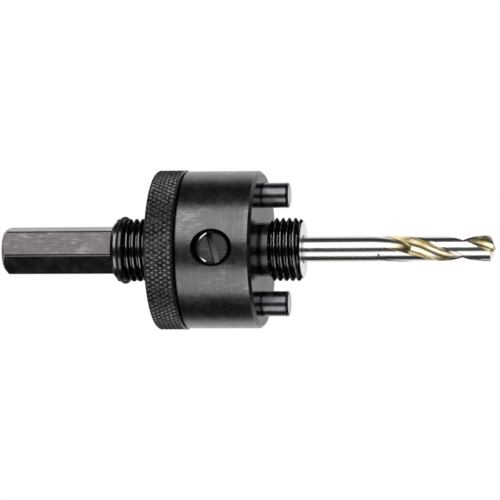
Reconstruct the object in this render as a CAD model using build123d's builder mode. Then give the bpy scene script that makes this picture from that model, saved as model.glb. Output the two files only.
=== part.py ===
from build123d import *
import os
from math import cos, radians, sin, sqrt, tan

os.makedirs("parts", exist_ok=True)

# Hole saw arbor with two sliding drive pins and a pilot drill.
# Millimetres. X runs along the arbor from its hexagon shank to the tip of the drill, and Z is up.
# The origin is the centre of the head's front face. The drive pins stand above and below it.

# Hexagon shank: one flat faces the side of the set screw, turned up a little.
hex_across_flats = 11.1
hex_corner_radius = 1.9
hex_length = 28.4
hex_flat_turn = 18.0
shank_end_chamfer = 0.8

# Both threads of the spindle are 5/8 inch with 16 turns to the inch. The rear one is cut, with flanks
# at 60 degrees, and the nose is drawn at its thread's outer diameter, on which the saw is guided.
thread_diameter = 15.875
thread_pitch = 1.5875
thread_depth = 0.95
thread_crest = 0.25
thread_root = 0.24
thread_end_turn = 187.0
shoulder_diameter = 12.9
thread_relief_diameter = 13.6
thread_relief_width = 1.6

# Head: a smooth round body that carries the pins and the set screw.
head_diameter = 39.6
head_length = 19.0
head_front_chamfer = 0.75
head_rear_chamfer = 0.3

# Nose that the saw screws on.
nose_length = 10.3
nose_neck_diameter = 13.6
nose_neck_length = 2.1
nose_chamfer = 0.9
pilot_bore_chamfer = 0.4

# Drive pins and the plate that carries them inside the nut. The pins stand midway between the
# thread and the rim of the head or the nut, whichever is smaller, and a little further in.
pin_diameter = 6.35
pin_inset = 0.27
pin_reach = 6.75
pin_chamfer = 0.35
pin_tail_diameter = 4.0
pin_clearance = 0.05
plate_thickness = 2.0
plate_bore_clearance = 0.4
plate_clearance = 0.05
plate_rim_clearance = 0.1

# Knurled nut.
nut_diameter = 40.3
nut_length = 7.4
nut_rear_rounding = 1.1
nut_front_chamfer = 0.4
nut_lip = 0.5
nut_recess_clearance = 0.825
nut_thread_clearance = 0.06
nut_bore_chamfer = 0.5
nut_gap = 0.3
nut_turns = 4.66

# Flat ring that keeps the plate in the nut.
carrier_ring_thickness = 0.9
carrier_ring_width = 0.6
carrier_groove_depth = 0.5
carrier_ring_gap = 24.0

# Round wire ring that stops the nut.
stop_wire_diameter = 2.0
stop_groove_depth = 1.4
stop_ring_gap = 30.0
stop_clearance = 0.3
stop_rim = 0.2

# Slotted set screw across the head, and its threaded hole.
set_screw_diameter = 7.9
set_screw_clearance = 0.03
set_screw_place = 9.7
set_screw_recess = 2.5
set_screw_chamfer = 0.35
set_screw_tip_diameter = 5.0
screw_slot_width = 1.5
screw_slot_depth = 2.0
screw_slot_turn = 16.0
screw_hole_chamfer = 0.8

# Pilot drill: two right-hand flutes behind a split point.
drill_diameter = 6.35
drill_clearance = 0.02
drill_reach = 58.5
drill_seat = 23.0
drill_flat_depth = 0.55
drill_flat_length = 9.0
drill_rear_chamfer = 0.3
flute_length = 27.0
flute_pitch = 40.0
flute_runout = 7.0
flute_angle = 92.0
web_thickness = 1.2
margin_angle = 13.0
margin_step = 0.14
point_angle = 135.0
lip_turn = 287.0
gash_depth = 0.9
gash_rise = 35.0
gash_web = 0.3

# Places along the arbor, worked out from the sizes above.
drill_radius = drill_diameter / 2
thread_radius = thread_diameter / 2
head_radius = head_diameter / 2
pin_radius = pin_diameter / 2
nut_radius = nut_diameter / 2
pin_circle_diameter = thread_radius + min(head_radius, nut_radius) - 2 * pin_inset
pin_circle_radius = pin_circle_diameter / 2
nut_recess_diameter = pin_circle_diameter + pin_diameter + 2 * nut_recess_clearance
nut_recess_radius = nut_recess_diameter / 2
head_rear = -head_length
nut_front = head_rear - nut_gap
nut_rear = nut_front - nut_length
carrier_ring_front = nut_front - nut_lip
carrier_ring_rear = carrier_ring_front - carrier_ring_thickness
plate_front = carrier_ring_rear - plate_clearance
plate_rear = plate_front - plate_thickness
nut_recess_floor = plate_rear - plate_clearance
nut_bore_radius = thread_radius + nut_thread_clearance
nut_travel = nut_turns * thread_pitch
groove_half_mouth = (thread_pitch - thread_crest) / 2

# The wire ring's front meets the nut's bore edge just past the end of the nut's travel.
stop_wire_radius = stop_wire_diameter / 2
stop_ring_radius = thread_radius - stop_groove_depth + stop_wire_radius
stop_ring_place = nut_rear - nut_travel - stop_clearance - stop_wire_radius
thread_rear = stop_ring_place - stop_wire_radius - stop_rim
thread_rise = (thread_diameter - shoulder_diameter) / 2
shoulder_place = thread_rear - thread_rise
shank_end = shoulder_place - hex_length
screw_axis_place = -set_screw_place
screw_radius = set_screw_diameter / 2
screw_foot = drill_radius - drill_flat_depth
screw_top = head_radius - set_screw_recess
drill_end = -drill_seat
drill_bore_radius = drill_radius + drill_clearance

# Sketch planes: across the arbor the sketch's x is Y and its y is Z; along it they are X and Z.
along = Plane(origin=(0, 0, 0), x_dir=(1, 0, 0), z_dir=(0, -1, 0))


def across(place):
    """Plane square to the arbor at this place along X."""
    return Plane(origin=(place, 0, 0), x_dir=(0, 1, 0), z_dir=(1, 0, 0))


# Spindle: shank, shoulder, rear thread, head and nose turned from one bar.
with BuildPart() as spindle:
    relief_rear = head_rear - thread_relief_width
    with BuildSketch(along):
        with BuildLine():
            Polyline(
                (shoulder_place, 0),
                (shoulder_place, shoulder_diameter / 2),
                (thread_rear, thread_radius),
                (relief_rear, thread_radius),
                (relief_rear, thread_relief_diameter / 2),
                (head_rear, thread_relief_diameter / 2),
                (head_rear, head_radius - head_rear_chamfer),
                (head_rear + head_rear_chamfer, head_radius),
                (-head_front_chamfer, head_radius),
                (0, head_radius - head_front_chamfer),
                (0, nose_neck_diameter / 2),
                (nose_neck_length, nose_neck_diameter / 2),
                (nose_neck_length, thread_radius),
                (nose_length - nose_chamfer, thread_radius),
                (nose_length, thread_radius - nose_chamfer),
                (nose_length, 0),
                close=True,
            )
        make_face()
    revolve(axis=Axis.X)

    # The hexagon, with rounded corners and a coned end.
    with BuildSketch(across(shank_end)):
        hexagon = RegularPolygon(
            hex_across_flats / 2, 6, major_radius=False, rotation=30 - hex_flat_turn
        )
        fillet(hexagon.vertices(), hex_corner_radius)
    extrude(amount=hex_length)
    cone_start = hex_across_flats / 2 - shank_end_chamfer / 2
    with BuildSketch(along):
        with BuildLine():
            Polyline(
                (shank_end, cone_start),
                (shank_end + 2 * shank_end_chamfer, cone_start + 2 * shank_end_chamfer),
                (shank_end, cone_start + 2 * shank_end_chamfer),
                close=True,
            )
        make_face()
    revolve(axis=Axis.X, mode=Mode.SUBTRACT)

    # Groove of the stop ring: a round bottom with straight walls.
    with BuildSketch(along):
        with Locations((stop_ring_place, stop_ring_radius)):
            Circle(stop_wire_radius)
            Rectangle(stop_wire_diameter, stop_wire_diameter, align=(Align.CENTER, Align.MIN))
    revolve(axis=Axis.X, mode=Mode.SUBTRACT)

    # Rear thread: a right-hand helical groove that starts in the stop groove and ends in the relief.
    groove_rise = thread_depth * thread_crest / 2 / (thread_pitch - thread_crest - thread_root)
    groove_length = head_rear - groove_half_mouth - stop_ring_place
    helix = Helix(
        pitch=thread_pitch,
        height=groove_length,
        radius=thread_radius - thread_depth,
        center=(stop_ring_place, 0, 0),
        direction=(1, 0, 0),
    )
    helix = helix.rotate(Axis.X, thread_end_turn - 360 * groove_length / thread_pitch)
    with BuildSketch(Plane(origin=helix @ 0, x_dir=(1, 0, 0), z_dir=helix % 0)):
        with BuildLine():
            Polyline(
                (-thread_root / 2, 0),
                (thread_root / 2, 0),
                (groove_half_mouth + thread_crest / 4, thread_depth + groove_rise),
                (-groove_half_mouth - thread_crest / 4, thread_depth + groove_rise),
                close=True,
            )
        make_face()
    sweep(path=helix, is_frenet=True, mode=Mode.SUBTRACT)

    # Bores of the two drive pins, right through the head.
    with BuildSketch(across(head_rear)):
        with PolarLocations(pin_circle_radius, 2, start_angle=90):
            Circle(pin_radius + pin_clearance)
    extrude(amount=head_length, mode=Mode.SUBTRACT)

    # Blind bore of the pilot drill, with its mouth eased.
    with BuildSketch(along):
        with BuildLine():
            Polyline(
                (drill_end, 0),
                (drill_end, drill_bore_radius),
                (nose_length - pilot_bore_chamfer, drill_bore_radius),
                (nose_length, drill_bore_radius + pilot_bore_chamfer),
                (nose_length, 0),
                close=True,
            )
        make_face()
    revolve(axis=Axis.X, mode=Mode.SUBTRACT)

    # Threaded hole of the set screw, from the near side of the head down to the drill's flat.
    screw_hole_radius = screw_radius + set_screw_clearance
    with BuildSketch(Plane(origin=(screw_axis_place, -screw_foot, 0), x_dir=(1, 0, 0), z_dir=(0, -1, 0))):
        Circle(screw_hole_radius)
    extrude(amount=head_radius, mode=Mode.SUBTRACT)
    screw_hole_mouth = sqrt(head_radius**2 - screw_hole_radius**2)
    with BuildSketch(Plane(origin=(screw_axis_place, 0, 0), x_dir=(1, 0, 0), z_dir=(0, 0, 1))):
        with BuildLine():
            Polyline(
                (0, -screw_hole_mouth + screw_hole_chamfer),
                (screw_hole_radius, -screw_hole_mouth + screw_hole_chamfer),
                (screw_hole_radius + 2 * screw_hole_chamfer, -screw_hole_mouth - screw_hole_chamfer),
                (0, -screw_hole_mouth - screw_hole_chamfer),
                close=True,
            )
        make_face()
    revolve(axis=Axis((screw_axis_place, 0, 0), (0, 1, 0)), mode=Mode.SUBTRACT)

spindle.part.label = "arbor_spindle"
export_step(spindle.part, "parts/arbor_spindle.step")


# Nut: a threaded web behind a recess that holds the pin plate. The knurl's tips reach its outline.
with BuildPart() as nut:
    groove_radius = nut_recess_radius + carrier_groove_depth
    with BuildSketch(along):
        with BuildLine():
            Polyline(
                (nut_rear, nut_bore_radius + nut_bore_chamfer),
                (nut_rear, nut_radius - nut_rear_rounding),
            )
            RadiusArc(
                (nut_rear, nut_radius - nut_rear_rounding),
                (nut_rear + nut_rear_rounding, nut_radius),
                nut_rear_rounding,
            )
            Polyline(
                (nut_rear + nut_rear_rounding, nut_radius),
                (nut_front - nut_front_chamfer, nut_radius),
                (nut_front, nut_radius - nut_front_chamfer),
                (nut_front, nut_recess_radius),
                (carrier_ring_front, nut_recess_radius),
                (carrier_ring_front, groove_radius),
                (carrier_ring_rear, groove_radius),
                (carrier_ring_rear, nut_recess_radius),
                (nut_recess_floor, nut_recess_radius),
                (nut_recess_floor, nut_bore_radius),
                (nut_rear + nut_bore_chamfer, nut_bore_radius),
                (nut_rear, nut_bore_radius + nut_bore_chamfer),
            )
        make_face()
    revolve(axis=Axis.X)

nut.part.label = "knurled_nut"
export_step(nut.part, "parts/knurled_nut.step")


# Plate that carries both pins. It slides along the rear thread without touching it.
with BuildPart() as plate:
    with BuildSketch(across(plate_rear)):
        Circle(nut_recess_radius - plate_rim_clearance)
        Circle(thread_radius + plate_bore_clearance, mode=Mode.SUBTRACT)
        with PolarLocations(pin_circle_radius, 2, start_angle=90):
            Circle(pin_tail_diameter / 2, mode=Mode.SUBTRACT)
    extrude(amount=plate_thickness)

plate.part.label = "pin_carrier"
export_step(plate.part, "parts/pin_carrier.step")


# Drive pins: a thin tail pressed into the plate and a plain round body through the head.
for pin_name, pin_height in (("drive_pin_upper", pin_circle_radius), ("drive_pin_lower", -pin_circle_radius)):
    with BuildPart() as pin:
        with BuildSketch(along):
            with BuildLine():
                Polyline(
                    (plate_rear, pin_height),
                    (plate_rear, pin_height + pin_tail_diameter / 2),
                    (plate_front, pin_height + pin_tail_diameter / 2),
                    (plate_front, pin_height + pin_radius),
                    (pin_reach - pin_chamfer, pin_height + pin_radius),
                    (pin_reach, pin_height + pin_radius - pin_chamfer),
                    (pin_reach, pin_height),
                    close=True,
                )
            make_face()
        revolve(axis=Axis((0, 0, pin_height), (1, 0, 0)))

    pin.part.label = pin_name
    export_step(pin.part, f"parts/{pin_name}.step")


# Snap ring in the nut's inner groove, open on the far side, in front of the plate.
with BuildPart() as carrier_ring:
    ring_outer_radius = nut_recess_radius + carrier_groove_depth
    ring_inner_radius = nut_recess_radius - carrier_ring_width
    with BuildSketch(across(carrier_ring_rear)):
        with BuildLine():
            start = carrier_ring_gap / 2
            sweep_angle = 360 - carrier_ring_gap
            outer_arc = CenterArc((0, 0), ring_outer_radius, start, sweep_angle)
            inner_arc = CenterArc((0, 0), ring_inner_radius, start, sweep_angle)
            Line(outer_arc @ 0, inner_arc @ 0)
            Line(outer_arc @ 1, inner_arc @ 1)
        make_face()
    extrude(amount=carrier_ring_thickness)

carrier_ring.part.label = "carrier_snap_ring"
export_step(carrier_ring.part, "parts/carrier_snap_ring.step")


# Stop ring: round wire sprung into the spindle's groove, open on the far side.
with BuildPart() as stop_ring:
    with BuildSketch(Plane(origin=(0, 0, 0), x_dir=(1, 0, 0), z_dir=(0, 0, 1))):
        with Locations((stop_ring_place, stop_ring_radius)):
            Circle(stop_wire_radius)
    revolve(axis=Axis.X, revolution_arc=360 - stop_ring_gap)

stop_ring.part = stop_ring.part.rotate(Axis.X, stop_ring_gap / 2)
stop_ring.part.label = "nut_stop_ring"
export_step(stop_ring.part, "parts/nut_stop_ring.step")


# Set screw: threaded plug with a slot, a coned tip and its foot on the flat of the drill.
with BuildPart() as set_screw:
    tip_rise = screw_radius - set_screw_tip_diameter / 2
    with BuildSketch(Plane(origin=(screw_axis_place, 0, 0), x_dir=(1, 0, 0), z_dir=(0, 0, 1))):
        with BuildLine():
            Polyline(
                (0, -screw_foot),
                (set_screw_tip_diameter / 2, -screw_foot),
                (screw_radius, -screw_foot - tip_rise),
                (screw_radius, -screw_top + set_screw_chamfer),
                (screw_radius - set_screw_chamfer, -screw_top),
                (0, -screw_top),
                close=True,
            )
        make_face()
    revolve(axis=Axis((screw_axis_place, 0, 0), (0, 1, 0)))
    slot_plane = Plane(origin=(screw_axis_place, -screw_top, 0), x_dir=(1, 0, 0), z_dir=(0, -1, 0))
    with BuildSketch(slot_plane):
        Rectangle(screw_slot_width, set_screw_diameter, rotation=screw_slot_turn)
    extrude(amount=-screw_slot_depth, mode=Mode.SUBTRACT)

set_screw.part.label = "pilot_set_screw"
export_step(set_screw.part, "parts/pilot_set_screw.step")


# Cross-section of the fluted part. Each land leads with a full-width margin and then steps down.
def radial(radius, angle):
    """Point at this radius and angle in a plane across the arbor."""
    return (radius * cos(radians(angle)), radius * sin(radians(angle)))


point_height = drill_radius / tan(radians(point_angle / 2))
flute_start = drill_reach - flute_length
land_angle = 180 - flute_angle
land_radius = drill_radius - margin_step
twist = 360 * flute_length / flute_pitch
corner_twist = 360 * (flute_length - point_height) / flute_pitch
first_lead = lip_turn - corner_twist

with BuildSketch(across(flute_start)) as fluted_section:
    with BuildLine():
        for lead in (first_lead, first_lead + 180):
            heel = lead - land_angle
            next_heel = heel + 180
            CenterArc((0, 0), land_radius, heel, land_angle - margin_angle)
            Line(radial(land_radius, lead - margin_angle), radial(drill_radius, lead - margin_angle))
            CenterArc((0, 0), drill_radius, lead - margin_angle, margin_angle)
            ThreePointArc(
                radial(drill_radius, lead),
                radial(web_thickness / 2, lead + flute_angle / 2),
                radial(land_radius, next_heel),
            )
    make_face()

fluted_bar = Solid.extrude_linear_with_rotation(
    fluted_section.sketch.faces()[0],
    center=(flute_start, 0, 0),
    normal=(flute_length, 0, 0),
    angle=twist,
)

# Pilot drill: the twisted bar grows out of a plain shank through a rounded run-out.
with BuildPart() as drill:
    add(fluted_bar)
    with BuildSketch(along):
        with BuildLine():
            Polyline(
                (flute_start + flute_runout, 0),
                (drill_end, 0),
                (drill_end, drill_radius - drill_rear_chamfer),
                (drill_end + drill_rear_chamfer, drill_radius),
                (flute_start, drill_radius),
            )
            EllipticalCenterArc((flute_start, 0), flute_runout, drill_radius, start_angle=0, arc_size=90)
        make_face()
    revolve(axis=Axis.X)

    # The point: everything outside its cone is ground away.
    with BuildSketch(along):
        with BuildLine():
            Polyline(
                (drill_reach, 0),
                (drill_reach - 2 * point_height, 2 * drill_radius),
                (drill_reach + point_height, 2 * drill_radius),
                (drill_reach + point_height, 0),
                close=True,
            )
        make_face()
    revolve(axis=Axis.X, mode=Mode.SUBTRACT)

    # Split point: two notches thin the web, each just ahead of its cutting lip.
    for lip in (lip_turn, lip_turn + 180):
        ahead = (0, -sin(radians(lip)), cos(radians(lip)))
        outward = (0, cos(radians(lip)), sin(radians(lip)))
        floor_run = 2 * gash_depth / tan(radians(gash_rise))
        with BuildSketch(Plane(origin=(drill_reach, 0, 0), x_dir=ahead, z_dir=outward)):
            with BuildLine():
                Polyline(
                    (gash_web / 2, -gash_depth),
                    (gash_web / 2 + floor_run, gash_depth),
                    (gash_web / 2, gash_depth),
                    close=True,
                )
            make_face()
        extrude(amount=drill_radius, mode=Mode.SUBTRACT)

    # Flat under the set screw.
    flat_plane = Plane(origin=(screw_axis_place, -screw_foot, 0), x_dir=(1, 0, 0), z_dir=(0, -1, 0))
    with BuildSketch(flat_plane):
        Rectangle(drill_flat_length, drill_diameter)
    extrude(amount=drill_radius, mode=Mode.SUBTRACT)

drill.part.label = "pilot_drill"
export_step(drill.part, "parts/pilot_drill.step")
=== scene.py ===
from math import cos, hypot, pi, radians, sin, sqrt, tan

import bmesh
import bpy
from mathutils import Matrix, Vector


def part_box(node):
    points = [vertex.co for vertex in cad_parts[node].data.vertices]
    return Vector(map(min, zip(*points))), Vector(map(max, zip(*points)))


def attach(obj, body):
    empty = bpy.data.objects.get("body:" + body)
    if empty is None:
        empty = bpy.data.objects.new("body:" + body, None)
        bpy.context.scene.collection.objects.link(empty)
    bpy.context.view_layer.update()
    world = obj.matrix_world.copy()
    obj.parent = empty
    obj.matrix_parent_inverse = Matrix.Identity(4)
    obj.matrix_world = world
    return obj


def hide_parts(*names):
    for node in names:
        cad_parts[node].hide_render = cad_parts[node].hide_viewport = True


# Looks of a hole saw arbor: blackened steel with cut threads and a knurled nut, and a bright pilot drill.
# Lengths are millimetres, turned to metres by mm. X runs from the hexagon shank to the drill's tip, and
# the head's front face is at 0. The camera looks at the side of the set screw, along Y.
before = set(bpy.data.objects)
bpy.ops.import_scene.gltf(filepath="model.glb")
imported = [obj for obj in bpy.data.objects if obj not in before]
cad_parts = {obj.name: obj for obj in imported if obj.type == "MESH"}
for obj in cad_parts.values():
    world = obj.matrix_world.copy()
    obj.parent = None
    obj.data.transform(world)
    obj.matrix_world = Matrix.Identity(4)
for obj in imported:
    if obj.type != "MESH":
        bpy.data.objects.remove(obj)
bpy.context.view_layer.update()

mm = 0.001

# Threads of the spindle. The solid has the rear one, and the nose's is cut here into its plain cylinder.
thread_radius = 7.9375
thread_root_radius = 6.9875
thread_pitch = 1.5875
thread_crest = 0.25
thread_root = 0.24
thread_relief_width = 1.6
nose_neck_radius = 6.8
nose_neck_length = 2.1
nose_lead_slope = 1.7
nose_chamfer = 0.9

# Shoulder behind the stop ring: distance from the shank's root, and radius. Its cone ends in a narrow
# land here, which catches the light as a bright ring, and the groove's rim in the solid follows it.
shoulder_profile = [(0.0, 6.45), (1.02, 7.7), (1.1, 7.9), (1.4875, 7.9375)]
shoulder_rim = 0.2

# Hexagon of the shank, whose corners are rounded less here than in the solid.
hex_length = 28.4
hex_half_width = 5.55
hex_corner_radius = 0.8
hex_flat_turn = 18
shank_end_radius = 5.15
shank_chamfer_length = 1.2

# Set screw and its hole: heights are distances from the arbor's axis.
screw_radius = 3.95
screw_slot_depth = 2.0
slot_floor_margin = 0.05
slot_lip = 0.5
screw_hole_mouth = 18.58
screw_countersink = 1.7
screw_clearance = 0.02
screw_thread_pitch = 1.25
screw_thread_depth = 0.36
screw_thread_start = 0.15
screw_hole_columns = 144
# The ridge of that thread: distances from its crest along the screw, and shares of its depth.
screw_ridge_steps = [(-0.205, 0.0), (-0.15, 0.25), (0.0, 1.0), (0.15, 0.25), (0.205, 0.0)]

# Knurl of the nut: crossing grooves at about 30 degrees, up to a plain line at the front.
knurl_count = 98
knurl_axial_pitch = 2.15
knurl_depth = 0.42
knurl_front_line = 0.12
nut_front_chamfer = 0.4
nut_rear_rounding = 1.1
nut_gap = 0.3

# Places along the arbor, read from the parts of model.glb.
spindle_low, spindle_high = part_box("arbor_spindle")
nut_low, nut_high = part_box("knurled_nut")
screw_low, screw_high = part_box("pilot_set_screw")
shank_end = spindle_low.x / mm
shank_root = shank_end + hex_length
shoulder_front = shank_root + shoulder_profile[-1][0]
rear_thread_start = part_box("nut_stop_ring")[1].x / mm - 0.5
nut_rear = nut_low.x / mm
nut_front = nut_high.x / mm
nut_radius = nut_high.z / mm
head_rear = nut_front + nut_gap
head_radius = spindle_high.z / mm
screw_place = (screw_low.x + screw_high.x) / 2 / mm
screw_top = -screw_low.y / mm
pin_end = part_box("drive_pin_upper")[1].x / mm
nose_end = spindle_high.x / mm
drill_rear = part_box("pilot_drill")[0].x / mm

# Places along the drill in the solid and in the looks: the run-out of the flutes starts further back here.
runout_places = [(drill_rear, drill_rear), (10.5, 10.5), (31.5, 26.5), (40.0, 40.0)]

# How finely the pieces are divided: columns round the arbor, rows along it, and steps to a diamond.
turned_columns = 160
hexagon_columns = 720
shank_row = 0.1
nose_row = 0.07
knurl_steps = 12

# A corner this near to an edge lies on it, one this far from a wall has left it, rows this near are the
# same row, and a face shorter than this along the arbor is flat across it.
touching = 0.01
apart = 0.02
same_row = 0.001
flat_face = 0.005


def linear(hex_colour):
    """Linear colour of an sRGB hex value."""
    channels = [int(hex_colour[i:i + 2], 16) / 255 for i in (1, 3, 5)]
    return [c / 12.92 if c <= 0.04045 else ((c + 0.055) / 1.055) ** 2.4 for c in channels] + [1.0]


def add_node(tree, kind, settings=(), links=(), stops=()):
    """Add a node, set its properties or input sockets by name or number, and link its inputs.

    stops are a colour ramp's places, each with a grey or a colour.
    """
    node = tree.nodes.new(kind)
    for key, value in dict(settings).items():
        if isinstance(key, str) and hasattr(node, key):
            setattr(node, key, value)
        else:
            node.inputs[key].default_value = value
    for key, source in dict(links).items():
        tree.links.new(source, node.inputs[key])
    if stops:
        elements = node.color_ramp.elements
        while len(elements) > 1:
            elements.remove(elements[-1])
        for number, (place, colour) in enumerate(stops):
            element = elements[0] if number == 0 else elements.new(place)
            element.position = place
            element.color = colour if isinstance(colour, list) else [colour, colour, colour, 1.0]
    return node


def new_material(name):
    """Empty node material with its output."""
    material = bpy.data.materials.new(name)
    material.use_nodes = True
    material.node_tree.nodes.clear()
    return material, material.node_tree, material.node_tree.nodes.new("ShaderNodeOutputMaterial")


def distance_from_axis(tree, parts):
    """Distance of the surface from the arbor's axis, in metres."""
    across = add_node(tree, "ShaderNodeCombineXYZ", {}, {"Y": parts.outputs["Y"], "Z": parts.outputs["Z"]})
    length = add_node(tree, "ShaderNodeVectorMath", {"operation": "LENGTH"}, {0: across.outputs[0]})
    return length.outputs["Value"]


# Sizes of the wear on black oxide, as waves to the metre: patches of the skin 3 mm across, scratches 2 mm
# long and 0.3 mm wide that gather in places 5 mm across, and bright specks 1 mm apart that come in
# groups. Real scratches and specks are finer, and are drawn this coarse so that they show. Noise lies
# mostly between 0.3 and 0.7, and the ramps on it start and end there.
patch_scale = 320.0
scratch_scales = (450, 3400, 2600)
scratch_turn = (0.4, 0.7, 0.9)
handling_scale = 190.0
speck_scale = 900.0
speck_group_scale = 260.0
speck_radius = 0.17
scratch_colour = linear("#a0a0a2")
speck_colour = linear("#b9b9bb")


def cut_marks(tree, place, mark_size, mark_along):
    """Marks of the tool: fine rings round the arbor, or lines along it, 40 times as long as they are wide."""
    fine = 1000 / mark_size
    coarse = fine / 40
    stretch = (fine, coarse, coarse) if mark_along == "round" else (coarse, fine, fine)
    stretched = add_node(tree, "ShaderNodeVectorMath", {"operation": "MULTIPLY", 1: stretch}, {0: place})
    marks = add_node(tree, "ShaderNodeTexNoise", {"Scale": 1.0, "Detail": 3.0, "Roughness": 0.6}, {
        "Vector": stretched.outputs[0]})
    return marks.outputs["Fac"]


def with_scratches(tree, place, skin, strength):
    """Pale scratches, more of them where the steel was handled most."""
    slanted = add_node(tree, "ShaderNodeMapping", {"Rotation": scratch_turn, "Scale": scratch_scales}, {
        "Vector": place})
    lines = add_node(tree, "ShaderNodeTexNoise", {"Scale": 1.0, "Detail": 2.0}, {
        "Vector": slanted.outputs[0]})
    handled = add_node(tree, "ShaderNodeTexNoise", {"Scale": handling_scale, "Detail": 2.0}, {
        "Vector": place})
    rubbed = add_node(tree, "ShaderNodeMath", {"operation": "MULTIPLY_ADD", 1: 0.9, 2: -0.45}, {
        0: handled.outputs["Fac"]})
    worn = add_node(tree, "ShaderNodeMath", {"operation": "ADD"}, {
        0: lines.outputs["Fac"], 1: rubbed.outputs[0]})
    scratch = add_node(tree, "ShaderNodeMapRange", {1: 0.6, 2: 0.76, 4: strength}, {0: worn.outputs[0]})
    return add_node(tree, "ShaderNodeMix", {"data_type": "RGBA", 7: scratch_colour}, {
        0: scratch.outputs[0], 6: skin}).outputs[2]


def with_specks(tree, place, skin, share):
    """Small bright specks where the black skin has chipped, on a share of the surface."""
    chips = add_node(tree, "ShaderNodeTexVoronoi", {"Scale": speck_scale, "Randomness": 1.0}, {
        "Vector": place})
    groups = add_node(tree, "ShaderNodeTexNoise", {"Scale": speck_group_scale, "Detail": 2.0}, {
        "Vector": place})
    small = add_node(tree, "ShaderNodeMath", {"operation": "LESS_THAN", 1: speck_radius}, {
        0: chips.outputs["Distance"]})
    some = add_node(tree, "ShaderNodeMath", {"operation": "GREATER_THAN", 1: 1 - share}, {
        0: groups.outputs["Fac"]})
    both = add_node(tree, "ShaderNodeMath", {"operation": "MULTIPLY"}, {
        0: small.outputs[0], 1: some.outputs[0]})
    return add_node(tree, "ShaderNodeMix", {"data_type": "RGBA", 7: speck_colour}, {
        0: both.outputs[0], 6: skin}).outputs[2]


def with_tones(tree, place, skin, tones, tones_along):
    """Lighter and darker zones: places in millimetres along X, Z or the radius, and tones from 0 to 2."""
    first, last = tones[0][0], tones[-1][0]
    parts = add_node(tree, "ShaderNodeSeparateXYZ", {}, {0: place})
    along = distance_from_axis(tree, parts) if tones_along == "radius" else parts.outputs[tones_along]
    share = add_node(tree, "ShaderNodeMapRange", {1: first * mm, 2: last * mm}, {0: along})
    shade = add_node(tree, "ShaderNodeValToRGB", {}, {"Fac": share.outputs[0]}, [
        ((at - first) / (last - first), tone / 2) for at, tone in tones])
    shaded = add_node(tree, "ShaderNodeMix", {"data_type": "RGBA", "blend_type": "MULTIPLY", 0: 1.0}, {
        6: skin, 7: shade.outputs["Color"]})
    return add_node(tree, "ShaderNodeVectorMath", {"operation": "SCALE", "Scale": 2.0}, {
        0: shaded.outputs[2]}).outputs[0]


def blackened_steel(name, colour, roughness, mark_depth, mark_size=0.3, mark_along="round", blotch=0.16,
                    specks=0.0, scratches=0.35, tones=(), tones_along="X", edge="#ffffff"):
    """Steel under black oxide: dark grey metal, with the marks of its cutting and a blotchy, worn skin.

    mark_along is "round" for a turned surface, whose rings run round the arbor, and "length" for drawn
    or sawn steel. A turning tool leaves a ring to each 0.1 mm or less; mark_size is the finest that
    shows. edge is the colour that the skin keeps at a grazing look, where bare metal turns white.
    """
    material, tree, output = new_material(name)
    place = add_node(tree, "ShaderNodeTexCoord").outputs["Object"]
    marks = cut_marks(tree, place, mark_size, mark_along)
    blotches = add_node(tree, "ShaderNodeTexNoise", {
        "Scale": patch_scale, "Detail": 4.0, "Roughness": 0.65}, {"Vector": place})
    tone = add_node(tree, "ShaderNodeValToRGB", {}, {"Fac": blotches.outputs["Fac"]}, [
        (0.3, [c * (1 - blotch) for c in linear(colour)[:3]] + [1.0]),
        (0.7, [c * (1 + blotch) for c in linear(colour)[:3]] + [1.0])])
    streak = add_node(tree, "ShaderNodeMapRange", {1: 0.35, 2: 0.65, 3: 0.9, 4: 1.1}, {0: marks})
    streaked = add_node(tree, "ShaderNodeMix", {"data_type": "RGBA", "blend_type": "MULTIPLY", 0: 1.0}, {
        6: tone.outputs["Color"], 7: streak.outputs[0]})
    skin = with_scratches(tree, place, streaked.outputs[2], scratches)
    if specks:
        skin = with_specks(tree, place, skin, specks)
    if tones:
        skin = with_tones(tree, place, skin, tones, tones_along)
    gloss = add_node(tree, "ShaderNodeMapRange", {
        1: 0.3, 2: 0.7, 3: roughness - 0.05, 4: roughness + 0.05}, {0: blotches.outputs["Fac"]})
    grain = add_node(tree, "ShaderNodeBump", {"Strength": 1.0, "Distance": mark_depth * mm}, {
        "Height": marks})
    steel = add_node(tree, "ShaderNodeBsdfPrincipled", {"Metallic": 1.0, "Specular Tint": linear(edge)}, {
        "Base Color": skin, "Roughness": gloss.outputs[0], "Normal": grain.outputs[0]})
    tree.links.new(steel.outputs[0], output.inputs["Surface"])
    return material


# Wear of the knurl's tips and cloud of the drill's heat tint, in waves to the metre: 1 mm and 4 mm across.
knurl_wear_scale = 1100.0
tint_cloud_scale = 260.0
# Grinding marks of the drill: rings 0.2 mm apart and 0.002 mm deep. Real ones are ten times finer.
grinding_scales = (5000.0, 90.0, 90.0)
grinding_depth = 0.002
# The heat tint begins with the flutes and lies between these distances from the drill's axis.
tint_start = 26.6
tint_outside = 2.95
tint_full = 2.6


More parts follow.
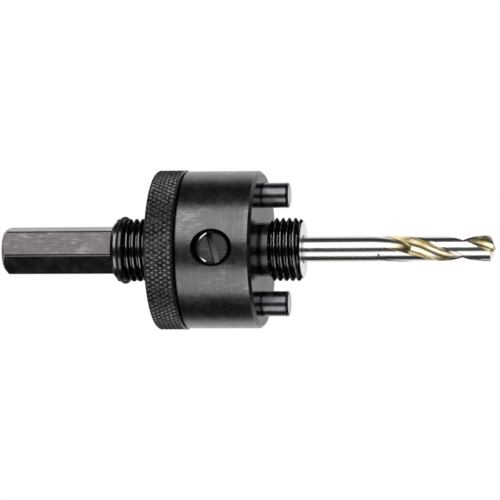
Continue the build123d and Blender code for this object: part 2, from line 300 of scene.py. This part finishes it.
def knurled_steel_skin():
    """Blackened knurl: painted shade makes the grooves black, and the diamonds' tips are unevenly lighter."""
    material, tree, output = new_material("knurled_blackened_steel")
    place = add_node(tree, "ShaderNodeTexCoord").outputs["Object"]
    parts = add_node(tree, "ShaderNodeSeparateXYZ", {}, {0: place})
    height = add_node(tree, "ShaderNodeMapRange", {
        1: (nut_radius - knurl_depth) * mm, 2: nut_radius * mm}, {0: distance_from_axis(tree, parts)})
    wear = add_node(tree, "ShaderNodeTexNoise", {
        "Scale": knurl_wear_scale, "Detail": 3.0, "Roughness": 0.7}, {"Vector": place})
    uneven = add_node(tree, "ShaderNodeMath", {"operation": "MULTIPLY_ADD", 1: 1.5, 2: -0.75}, {
        0: wear.outputs["Fac"]})
    level = add_node(tree, "ShaderNodeMath", {"operation": "ADD"}, {
        0: height.outputs[0], 1: uneven.outputs[0]})
    tone = add_node(tree, "ShaderNodeValToRGB", {}, {"Fac": level.outputs[0]}, [
        (0.05, linear("#202021")), (0.32, linear("#68686a")),
        (0.75, linear("#7c7c7e")), (1.0, linear("#a0a0a2"))])
    gloss = add_node(tree, "ShaderNodeMapRange", {1: 0.1, 2: 0.6, 3: 0.6, 4: 0.42}, {0: level.outputs[0]})
    steel = add_node(tree, "ShaderNodeBsdfPrincipled", {"Metallic": 1.0}, {
        "Base Color": tone.outputs["Color"], "Roughness": gloss.outputs[0]})
    tree.links.new(steel.outputs[0], output.inputs["Surface"])
    return material


def ground_drill_steel():
    """High speed steel, ground bright: a near mirror, with straw heat tint left in the flutes."""
    material, tree, output = new_material("ground_high_speed_steel")
    place = add_node(tree, "ShaderNodeTexCoord").outputs["Object"]
    parts = add_node(tree, "ShaderNodeSeparateXYZ", {}, {0: place})
    in_flute = add_node(tree, "ShaderNodeMapRange", {1: tint_outside * mm, 2: tint_full * mm}, {
        0: distance_from_axis(tree, parts)})
    fluted = add_node(tree, "ShaderNodeMath", {"operation": "GREATER_THAN", 1: tint_start * mm}, {
        0: parts.outputs["X"]})
    cloud = add_node(tree, "ShaderNodeTexNoise", {"Scale": tint_cloud_scale, "Detail": 3.0}, {
        "Vector": place})
    tint = add_node(tree, "ShaderNodeMath", {"operation": "MULTIPLY"}, {
        0: in_flute.outputs[0], 1: fluted.outputs[0]})
    straw = add_node(tree, "ShaderNodeValToRGB", {}, {"Fac": cloud.outputs["Fac"]}, [
        (0.3, linear("#d6bf7c")), (0.5, linear("#e6dcbc")), (0.7, linear("#e6dad2"))])
    colour = add_node(tree, "ShaderNodeMix", {"data_type": "RGBA", 6: linear("#dcdad6")}, {
        0: tint.outputs[0], 7: straw.outputs["Color"]})
    ground = add_node(tree, "ShaderNodeVectorMath", {"operation": "MULTIPLY", 1: grinding_scales}, {0: place})
    marks = add_node(tree, "ShaderNodeTexNoise", {"Scale": 1.0, "Detail": 2.0}, {
        "Vector": ground.outputs[0]})
    grain = add_node(tree, "ShaderNodeBump", {"Strength": 1.0, "Distance": grinding_depth * mm}, {
        "Height": marks.outputs["Fac"]})
    gloss = add_node(tree, "ShaderNodeMapRange", {3: 0.22, 4: 0.28}, {0: tint.outputs[0]})
    steel = add_node(tree, "ShaderNodeBsdfPrincipled", {"Metallic": 1.0}, {
        "Base Color": colour.outputs[2], "Roughness": gloss.outputs[0], "Normal": grain.outputs[0]})
    tree.links.new(steel.outputs[0], output.inputs["Surface"])
    return material


# Turned bar under black oxide, on the head and the necks: dark grey with rings too fine to tell apart.
# Painted shade darkens the corner behind the head, the head's front chamfer and the neck's root. Painted
# highlights brighten a band of the head just behind that chamfer and the neck's middle. Tones are places
# along the spindle, each with its tone.
turned_steel = blackened_steel(
    "turned_blackened_steel", "#656566", roughness=0.27, mark_depth=0.008, specks=0.3, tones=[
        (head_rear - 0.1, 0.3), (head_rear + 0.35, 0.3), (head_rear + 0.6, 0.95),
        (-2.0, 1.0), (-1.2, 1.2), (-0.8, 1.3), (-0.7, 0.8), (0.0, 0.5),
        (0.1, 0.15), (0.45, 0.2), (0.65, 1.15), (1.9, 1.15), (nose_neck_length, 0.4)])

# The same steel on the shoulder, where the stop ring has rubbed it: paler, and dark at its outline.
shoulder_steel = blackened_steel(
    "turned_blackened_shoulder_steel", "#868688", roughness=0.2, mark_depth=0.003, edge="#6c6c6e")

# The head's faced front: smooth enough to mirror the nose, with painted shade that makes it near black
# round its neck and fades out towards the rim. Tones by radius.
front_steel = blackened_steel(
    "faced_blackened_steel", "#58585a", roughness=0.15, mark_depth=0.004, edge="#cac6c7", scratches=0.08,
    tones_along="radius", tones=[
        (nose_neck_radius - 0.1, 0.15), (8.2, 0.2), (10.0, 0.5), (13.0, 0.7), (16.0, 0.95),
        (head_radius, 1.0)])

# The nut's turned faces: a darker, duller grey than the head's.
nut_steel = blackened_steel("turned_blackened_nut_steel", "#4c4c4e", roughness=0.3, mark_depth=0.008)

# Drawn hexagon bar: flat, even sides with faint lines along them and a blotchy, slightly warm black.
drawn_steel = blackened_steel(
    "drawn_blackened_bar", "#625e60", roughness=0.22, mark_depth=0.006, mark_size=0.25,
    mark_along="length", blotch=0.2)

# The nose's end, faced after blackening: bare pale steel.
faced_steel = blackened_steel(
    "faced_bare_steel", "#dcdcda", roughness=0.3, mark_depth=0.004, blotch=0.06)

# The set screw's slot: sawn, so it looks dull and pale, and dark at its upper end, which lies in shade.
slot_steel = blackened_steel(
    "sawn_slot_steel", "#a4a4a6", roughness=0.6, mark_depth=0.02, mark_along="length",
    tones_along="Z", tones=[
        (-4.0, 1.3), (-2.0, 1.0), (0.5, 0.6), (2.4, 0.25), (3.2, 0.1)])

# The crest of the thread in the screw's hole, coloured pale as a painted highlight on the ridge.
painted_highlight_steel = blackened_steel(
    "painted_highlight_bright_steel", "#d0d0ce", roughness=0.18, mark_depth=0.002, blotch=0.04)

# The wall of that hole, its countersink and the walls of the screw's slot: near black, as painted shade.
painted_shade_steel = blackened_steel(
    "painted_shade_blackened_steel", "#151516", roughness=0.5, mark_depth=0.004, scratches=0.0)

# Cut threads: glossy black, darker down the flanks and roots and paler at the crests, and dark at their
# outline. Tones by radius.
cut_thread_steel = blackened_steel(
    "cut_thread_blackened_steel", "#6c6c6f", roughness=0.18, mark_depth=0.004, mark_size=0.2, edge="#77777a",
    tones_along="radius", tones=[
        (thread_root_radius - 0.1, 0.6), (7.7, 0.6), (7.86, 1.2), (thread_radius, 1.25)])

# The knurl's diamonds: a fine net of dull grey points over grooves made black by painted shade.
knurled_steel = knurled_steel_skin()

# Ground pins: smooth and mid grey, with painted shade that makes them black at their roots and in a ring
# behind their bright ends.
pin_steel = blackened_steel(
    "ground_blackened_pin_steel", "#78787c", roughness=0.24, mark_depth=0.003, mark_size=0.2, tones=[
        (pin_end - 10.0, 0.2), (pin_end - 6.55, 0.2), (pin_end - 6.35, 1.0), (pin_end - 0.85, 1.0),
        (pin_end - 0.65, 0.15), (pin_end - 0.05, 0.2), (pin_end, 1.5)])

# Spring wire: smooth and glossy black.
ring_steel = blackened_steel(
    "blackened_spring_wire", "#5c5c5e", roughness=0.2, mark_depth=0.003, mark_size=0.2, edge="#8c8c8e")

# The set screw: a rough, blotchy black skin.
screw_steel = blackened_steel(
    "blackened_screw_steel", "#606062", roughness=0.4, mark_depth=0.005, blotch=0.3)

# The drill: bright stripes with sharp dark lines between, and warm yellow in the flutes.
drill_steel = ground_drill_steel()


def cad_copy(node, name, materials, finish_of):
    """Copy of a CAD node's mesh, each face with the material that finish_of gives, or left out for None."""
    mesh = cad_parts[node].data.copy()
    mesh.name = name
    mesh.materials.clear()
    for material in materials:
        mesh.materials.append(material)
    finishes = [finish_of([mesh.vertices[v].co / mm for v in face.vertices]) for face in mesh.polygons]
    mesh.polygons.foreach_set("material_index", [
        0 if finish is None else materials.index(finish) for finish in finishes])
    if None in finishes:
        shell = bmesh.new()
        shell.from_mesh(mesh)
        gone = [face for face, finish in zip(shell.faces, finishes) if finish is None]
        bmesh.ops.delete(shell, geom=gone, context="FACES")
        shell.to_mesh(mesh)
        shell.free()
    return mesh


def stations_between(start, end, step):
    """Evenly spaced places from start to end, about a step apart."""
    count = max(1, round(abs(end - start) / step))
    return [start + (end - start) * i / count for i in range(count + 1)]


def turned_mesh(name, stations, columns, radius_at, material, sharp_angle, closed_rear=False):
    """Mesh turned round the arbor: a ring of points at each station, skinned with quads."""
    shell = bmesh.new()
    rings = []
    for station in stations:
        ring = []
        for column in range(columns):
            angle = 2 * pi * column / columns
            radius = radius_at(station, angle)
            ring.append(shell.verts.new((station * mm, radius * cos(angle) * mm, radius * sin(angle) * mm)))
        rings.append(ring)
    for rear, front in zip(rings, rings[1:]):
        for column in range(columns):
            after = (column + 1) % columns
            shell.faces.new((rear[column], front[column], front[after], rear[after]))
    if closed_rear:
        shell.faces.new(rings[0])
    bmesh.ops.recalc_face_normals(shell, faces=shell.faces)
    return finished_mesh(name, shell, [material], sharp_angle)


def finished_mesh(name, shell, materials, sharp_angle):
    """Mesh of a shell, smooth but for its edges above the angle."""
    mesh = bpy.data.meshes.new(name)
    shell.to_mesh(mesh)
    shell.free()
    mesh.shade_smooth()
    mesh.set_sharp_from_angle(angle=radians(sharp_angle))
    for material in materials:
        mesh.materials.append(material)
    return mesh


def stand_for(node, mesh, body):
    """Object of a mesh that stands for a CAD node and rides its body."""
    piece = bpy.data.objects.new(mesh.name, mesh)
    bpy.context.scene.collection.objects.link(piece)
    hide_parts(node)
    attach(piece, body)


def finish_node(name, material):
    """Give a CAD node that stays as it is its finish."""
    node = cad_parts[name]
    for place in node.material_slots:
        place.link = "OBJECT"
        place.material = material


def spindle_finish(points):
    """Finish of one face of the spindle, or None where a piece made here takes its place."""
    places = [point.x for point in points]
    rear, front = min(places), max(places)
    radii = [hypot(point.y, point.z) for point in points]
    inside, outside = min(radii), max(radii)
    if front < shank_root + touching and rear < shank_root - touching:
        return None
    if rear > nose_end - touching:
        return faced_steel
    if front < touching and rear > -touching:
        return front_steel
    on_rim = rear > shoulder_front - touching and front < shoulder_front + shoulder_rim + touching
    if on_rim and inside > thread_radius - touching:
        return shoulder_steel
    if front < shoulder_front + touching and outside > shoulder_profile[0][1] + apart:
        return None
    from_screw = max(hypot(point.x - screw_place, point.z) for point in points)
    on_screw_side = from_screw < screw_radius + screw_countersink and points[0].y < -screw_radius
    # The screw's hole and its countersink are painted near black as shade.
    if on_screw_side and inside < head_radius - apart:
        return painted_shade_steel
    if outside > thread_radius + apart or inside < nose_neck_radius - apart:
        return turned_steel
    if rear > nose_neck_length - touching and outside > nose_neck_radius + apart:
        return None
    on_rear_thread = rear > rear_thread_start and front < head_rear - thread_relief_width + touching
    return cut_thread_steel if on_rear_thread and inside > thread_root_radius - apart else turned_steel


def nose_surface(place, angle):
    """Radius of the nose's thread, between its neck and its chamfered end."""
    phase = place / thread_pitch - angle / (2 * pi)
    from_crest = abs((phase + 0.5) % 1 - 0.5) * thread_pitch
    flank = (thread_pitch - thread_crest - thread_root) / 2
    height = min(1.0, max(0.0, (thread_pitch / 2 - thread_root / 2 - from_crest) / flank))
    cut = thread_root_radius + (thread_radius - thread_root_radius) * height
    lead = nose_neck_radius + nose_lead_slope * (place - nose_neck_length)
    return min(cut, lead, thread_radius - nose_chamfer + nose_end - place)


def hexagon_surface(place, angle):
    """Radius of the hexagon with its rounded corners, inside the cone of its chamfered end."""
    from_flat = (angle + radians(hex_flat_turn) + pi / 6) % (pi / 3) - pi / 6
    centre = (hex_half_width - hex_corner_radius) / cos(pi / 6)
    from_corner = pi / 6 - abs(from_flat)
    rounded = centre * cos(from_corner) + sqrt(hex_corner_radius**2 - min(
        hex_corner_radius, centre * sin(from_corner))**2)
    on_flat = hex_half_width / cos(from_flat)
    half_flat = (hex_half_width - hex_corner_radius) * tan(pi / 6)
    full = on_flat if hex_half_width * tan(abs(from_flat)) < half_flat else rounded
    return min(full, shank_end_radius + place - shank_end)


def shoulder_surface(place, angle):
    """Radius of the shoulder, straight between the corners of its profile."""
    for (rear, low), (front, high) in zip(shoulder_profile, shoulder_profile[1:]):
        if place - shank_root <= front + same_row:
            return low + (high - low) * (place - shank_root - rear) / (front - rear)
    return shoulder_profile[-1][1]


def spindle_pieces():
    """The spindle's four pieces: its shoulder, its turned body, the drawn shank and the nose's thread."""
    shoulder_stations = [shank_root + place for place, radius in shoulder_profile]
    shoulder = turned_mesh("grooved_shoulder", shoulder_stations, turned_columns, shoulder_surface,
                           shoulder_steel, sharp_angle=12)
    body = cad_copy("arbor_spindle", "finished_spindle", [
        turned_steel, cut_thread_steel, faced_steel, painted_shade_steel, front_steel, shoulder_steel],
        spindle_finish)
    shank_stations = stations_between(shank_end, shank_end + shank_chamfer_length, shank_row)
    shank = turned_mesh("drawn_hexagon_shank", shank_stations + [shank_root], hexagon_columns,
                        hexagon_surface, drawn_steel, sharp_angle=20, closed_rear=True)
    nose_stations = stations_between(nose_neck_length, nose_end, nose_row)
    thread = turned_mesh("nose_thread", nose_stations, turned_columns, nose_surface, cut_thread_steel,
                         sharp_angle=32)
    for mesh in (shoulder, body, shank, thread):
        stand_for("arbor_spindle", mesh, "spindle")


def screw_finish(points):
    """Finish of one face of the set screw: its slot, the slot's walls in painted shade, or its skin."""
    heights = [-point.y for point in points]
    slot_floor = screw_top - screw_slot_depth
    if max(heights) < slot_floor + slot_floor_margin:
        return slot_steel if min(heights) > slot_floor - slot_floor_margin else screw_steel
    in_slot = max(hypot(point.x - screw_place, point.z) for point in points) < screw_radius
    return painted_shade_steel if in_slot and min(heights) < screw_top - slot_lip else screw_steel


def screw_hole_mesh():
    """Wall of the hole above the set screw, with the thread's ridge on the side away from the nose.

    The rows of points follow the ridge as it climbs, so that its edges are smooth, and stop at both rims.
    The ridge fades out in the last quarter of a millimetre below the mouth, and towards the nose.
    """
    foot = screw_top + screw_clearance
    turns = range(int(foot / screw_thread_pitch), int(screw_hole_mouth / screw_thread_pitch) + 3)
    rows = [(turn, step) for turn in turns for step in screw_ridge_steps]
    shell = bmesh.new()
    edges = []
    for column in range(screw_hole_columns + 1):
        angle = 2 * pi * column / screw_hole_columns
        edge = []
        for turn, (from_crest, rise) in rows:
            height = (turn - angle / (2 * pi) - screw_thread_start) * screw_thread_pitch + from_crest
            height = min(screw_hole_mouth, max(foot, height))
            rise = rise * min(1, 4 * (screw_hole_mouth - height)) * min(1, max(0, -2 * cos(angle)))
            radius = screw_radius + screw_clearance - screw_thread_depth * rise
            edge.append(shell.verts.new((
                (screw_place + radius * cos(angle)) * mm, -height * mm, radius * sin(angle) * mm)))
        edges.append(edge)
    for left, right in zip(edges, edges[1:]):
        for row in range(len(rows) - 1):
            face = shell.faces.new((left[row], right[row], right[row + 1], left[row + 1]))
            # Faces on the crest take the painted highlight.
            on_crest = rows[row][1][1] + rows[row + 1][1][1] > 1
            face.material_index = 1 if on_crest else 0
    bmesh.ops.remove_doubles(shell, verts=shell.verts, dist=0.0005 * mm)
    return finished_mesh("set_screw_hole_thread", shell, [painted_shade_steel, painted_highlight_steel],
                         sharp_angle=32)


def set_screw_pieces():
    """The set screw with a brighter slot, and the turn of thread that shows above it in its hole."""
    screw = cad_copy("pilot_set_screw", "slotted_set_screw", [screw_steel, slot_steel, painted_shade_steel],
                     screw_finish)
    stand_for("pilot_set_screw", screw, "spindle")
    stand_for("pilot_set_screw", screw_hole_mesh(), "spindle")


def along_drill(place):
    """Place in the looks of a place along the solid drill, and how much it is stretched there."""
    for (old_rear, new_rear), (old_front, new_front) in zip(runout_places, runout_places[1:]):
        if place <= old_front:
            stretch = (new_front - new_rear) / (old_front - old_rear)
            return new_rear + (place - old_rear) * stretch, stretch
    return place, 1.0


def drill_piece():
    """The drill, with the flutes' run-out stretched back towards the nose as a long shallow tail."""
    mesh = cad_copy("pilot_drill", "fluted_pilot_drill", [drill_steel], lambda points: drill_steel)
    normals = []
    for corner, normal in zip(mesh.loops, mesh.corner_normals):
        stretch = along_drill(mesh.vertices[corner.vertex_index].co.x / mm)[1]
        normals.append(Vector((normal.vector.x / stretch, normal.vector.y, normal.vector.z)).normalized())
    for vertex in mesh.vertices:
        vertex.co.x = along_drill(vertex.co.x / mm)[0] * mm
    mesh.normals_split_custom_set(normals)
    stand_for("pilot_drill", mesh, "spindle")


def nut_finish(points):
    """Finish of one face of the nut, or None under the knurled band: its rim, but not its flat front."""
    rim = nut_radius - nut_rear_rounding - apart
    front = nut_front - nut_front_chamfer + touching
    on_rim = all(hypot(point.y, point.z) > rim and point.x < front for point in points)
    places = [point.x for point in points]
    return None if on_rim and max(places) - min(places) > flat_face else nut_steel


def knurl_surface(place, angle):
    """Radius of the knurled rim: two sets of crossing grooves, cut into a cylinder with a round rear edge."""
    behind = nut_rear + nut_rear_rounding - place
    edge = nut_radius
    if behind > 0:
        edge = nut_radius - nut_rear_rounding + sqrt(max(0.0, nut_rear_rounding**2 - behind**2))
    if place > nut_front - same_row:
        return nut_radius - nut_front_chamfer
    if place > nut_front - knurl_front_line - same_row:
        return edge
    round_share = knurl_count * angle / (2 * pi)
    length_share = place / knurl_axial_pitch
    one = abs((round_share + length_share) % 1 - 0.5) * 2
    other = abs((round_share - length_share) % 1 - 0.5) * 2
    return min(edge, nut_radius - knurl_depth * max(one, other))


def nut_pieces():
    """The nut with its diamond knurl, which runs out over the rounded rear edge and stops at a front line."""
    body = cad_copy("knurled_nut", "turned_nut_body", [nut_steel], nut_finish)
    stand_for("knurled_nut", body, "lock_nut")
    knurl_end = nut_front - knurl_front_line
    arc = [nut_rear + nut_rear_rounding * (1 - cos(radians(turn))) for turn in range(0, 90, 9)]
    rows = stations_between(nut_rear + nut_rear_rounding, knurl_end - touching,
                            knurl_axial_pitch / knurl_steps)
    band = turned_mesh("diamond_knurl", arc + rows + [knurl_end, nut_front], knurl_count * knurl_steps,
                       knurl_surface, knurled_steel, sharp_angle=24)
    stand_for("knurled_nut", band, "lock_nut")


spindle_pieces()
nut_pieces()
finish_node("pin_carrier", nut_steel)
finish_node("drive_pin_upper", pin_steel)
finish_node("drive_pin_lower", pin_steel)
finish_node("carrier_snap_ring", ring_steel)
finish_node("nut_stop_ring", ring_steel)
set_screw_pieces()
drill_piece()

# Camera: a long lens, a little to the right of the arbor's side and a touch below it.
camera_azimuth = 10.0
camera_elevation = -1.75
camera_distance = 700.0
focal_pixels = 2782.5
picture_width = 500
sensor_width = 36.0
aim_along = -3.379
axis_row = 249.6

# Both lamps stand a metre from the arbor and are as long as this, in metres, so that their mirrored
# stripes end on the steel as in the photo.
lamp_distance = 1.0
lamp_length = 1.1

# Degrees up from the camera's side, seen along the arbor, with the light that steel mirrors there: an
# unlit room towards the camera, and a white backdrop behind the arbor.
mirrored_light = [(-134, 1.0), (-119, 0.02), (111, 0.02), (130, 1.0)]
# Light from all round for what isn't a mirror.
even_light = [0.55, 0.55, 0.55, 1.0]

# Floor, in metres: its depth below the arbor, its radius, and where it fades into the backdrop.
floor_depth = 0.09
floor_radius = 1.2
floor_fade = (0.2, 0.44)


def add_camera():
    """The photo's view of the arbor."""
    turn, rise = radians(camera_azimuth), radians(camera_elevation)
    back = Vector((sin(turn) * cos(rise), -cos(turn) * cos(rise), sin(rise)))
    data = bpy.data.cameras.new("camera")
    data.sensor_width = sensor_width
    data.lens = focal_pixels * sensor_width / picture_width
    data.clip_start, data.clip_end = 0.01, 50.0
    data.shift_y = (axis_row - picture_width / 2) / picture_width
    camera = bpy.data.objects.new("camera", data)
    camera.location = (Vector((aim_along, 0, 0)) + back * camera_distance) * mm
    camera.rotation_mode = "QUATERNION"
    camera.rotation_quaternion = back.to_track_quat("Z", "Y")
    bpy.context.scene.collection.objects.link(camera)
    bpy.context.scene.camera = camera


def add_lamp(name, low, high, strength):
    """Long soft lamp parallel to the arbor, between two angles in degrees up from the camera's side.

    strength is how bright a mirror shows it, where 1 is white.
    """
    middle = radians((low + high) / 2)
    width = 2 * lamp_distance * tan(radians((high - low) / 2))
    data = bpy.data.lights.new(name, "AREA")
    data.shape = "RECTANGLE"
    data.size, data.size_y = lamp_length, width
    data.energy = strength * pi * lamp_length * width
    lamp = bpy.data.objects.new(name, data)
    away = Vector((0, -cos(middle), sin(middle)))
    lamp.location = away * lamp_distance
    lamp.rotation_mode = "QUATERNION"
    lamp.rotation_quaternion = away.to_track_quat("Z", "Y")
    bpy.context.scene.collection.objects.link(lamp)


def add_world():
    """White all round for the camera. Steel mirrors the white backdrop behind it and an unlit room."""
    world = bpy.data.worlds.new("studio")
    world.use_nodes = True
    tree = world.node_tree
    tree.nodes.clear()
    direction = add_node(tree, "ShaderNodeTexCoord").outputs["Generated"]
    parts = add_node(tree, "ShaderNodeSeparateXYZ", {}, {0: direction})
    front = add_node(tree, "ShaderNodeMath", {"operation": "MULTIPLY", 1: -1.0}, {0: parts.outputs["Y"]})
    angle = add_node(tree, "ShaderNodeMath", {"operation": "ARCTAN2"}, {
        0: parts.outputs["Z"], 1: front.outputs[0]})
    share = add_node(tree, "ShaderNodeMapRange", {1: -pi, 2: pi}, {0: angle.outputs[0]})
    around = add_node(tree, "ShaderNodeValToRGB", {}, {"Fac": share.outputs[0]}, [
        (0.0, 1.0), *(((degrees + 180) / 360, light) for degrees, light in mirrored_light), (1.0, 1.0)])
    path = add_node(tree, "ShaderNodeLightPath")
    mirrored = add_node(tree, "ShaderNodeMix", {"data_type": "RGBA", 6: even_light}, {
        0: path.outputs["Is Glossy Ray"], 7: around.outputs["Color"]})
    seen = add_node(tree, "ShaderNodeMath", {"operation": "MAXIMUM"}, {
        0: path.outputs["Is Camera Ray"], 1: path.outputs["Is Transmission Ray"]})
    light = add_node(tree, "ShaderNodeMix", {"data_type": "RGBA", 7: [1.0, 1.0, 1.0, 1.0]}, {
        0: seen.outputs[0], 6: mirrored.outputs[2]})
    background = add_node(tree, "ShaderNodeBackground", {"Strength": 1.0}, {"Color": light.outputs[2]})
    add_node(tree, "ShaderNodeOutputWorld", {}, {"Surface": background.outputs[0]})
    bpy.context.scene.world = world


def add_floor():
    """Pale floor below the arbor, which fades into the white backdrop and keeps the shadow."""
    material, tree, output = new_material("pale_floor")
    place = add_node(tree, "ShaderNodeTexCoord").outputs["Object"]
    distance = add_node(tree, "ShaderNodeVectorMath", {"operation": "LENGTH"}, {0: place})
    fade = add_node(tree, "ShaderNodeMapRange", {1: floor_fade[0], 2: floor_fade[1]}, {
        0: distance.outputs["Value"]})
    path = add_node(tree, "ShaderNodeLightPath")
    white = add_node(tree, "ShaderNodeMath", {"operation": "MULTIPLY"}, {
        0: fade.outputs[0], 1: path.outputs["Is Camera Ray"]})
    paint = add_node(tree, "ShaderNodeBsdfDiffuse", {"Color": linear("#f4f4f4")})
    glow = add_node(tree, "ShaderNodeEmission", {"Strength": 1.0})
    mixed = add_node(tree, "ShaderNodeMixShader", {}, {
        0: white.outputs[0], 1: paint.outputs[0], 2: glow.outputs[0]})
    tree.links.new(mixed.outputs[0], output.inputs["Surface"])
    mesh = bpy.data.meshes.new("floor")
    disc = bmesh.new()
    bmesh.ops.create_circle(disc, cap_ends=True, segments=96, radius=floor_radius)
    disc.to_mesh(mesh)
    disc.free()
    mesh.materials.append(material)
    floor = bpy.data.objects.new("floor", mesh)
    floor.location = (0, 0, -floor_depth)
    # The reflector stands below the floor, which lets its light through and isn't mirrored in the steel.
    floor.visible_glossy = False
    floor.visible_shadow = False
    bpy.context.scene.collection.objects.link(floor)


add_camera()
add_lamp("softbox_above", 11, 62, 1.88)
add_lamp("reflector_below", -69, -29, 1.55)
add_world()
add_floor()
bpy.context.scene.view_settings.view_transform = "Standard"
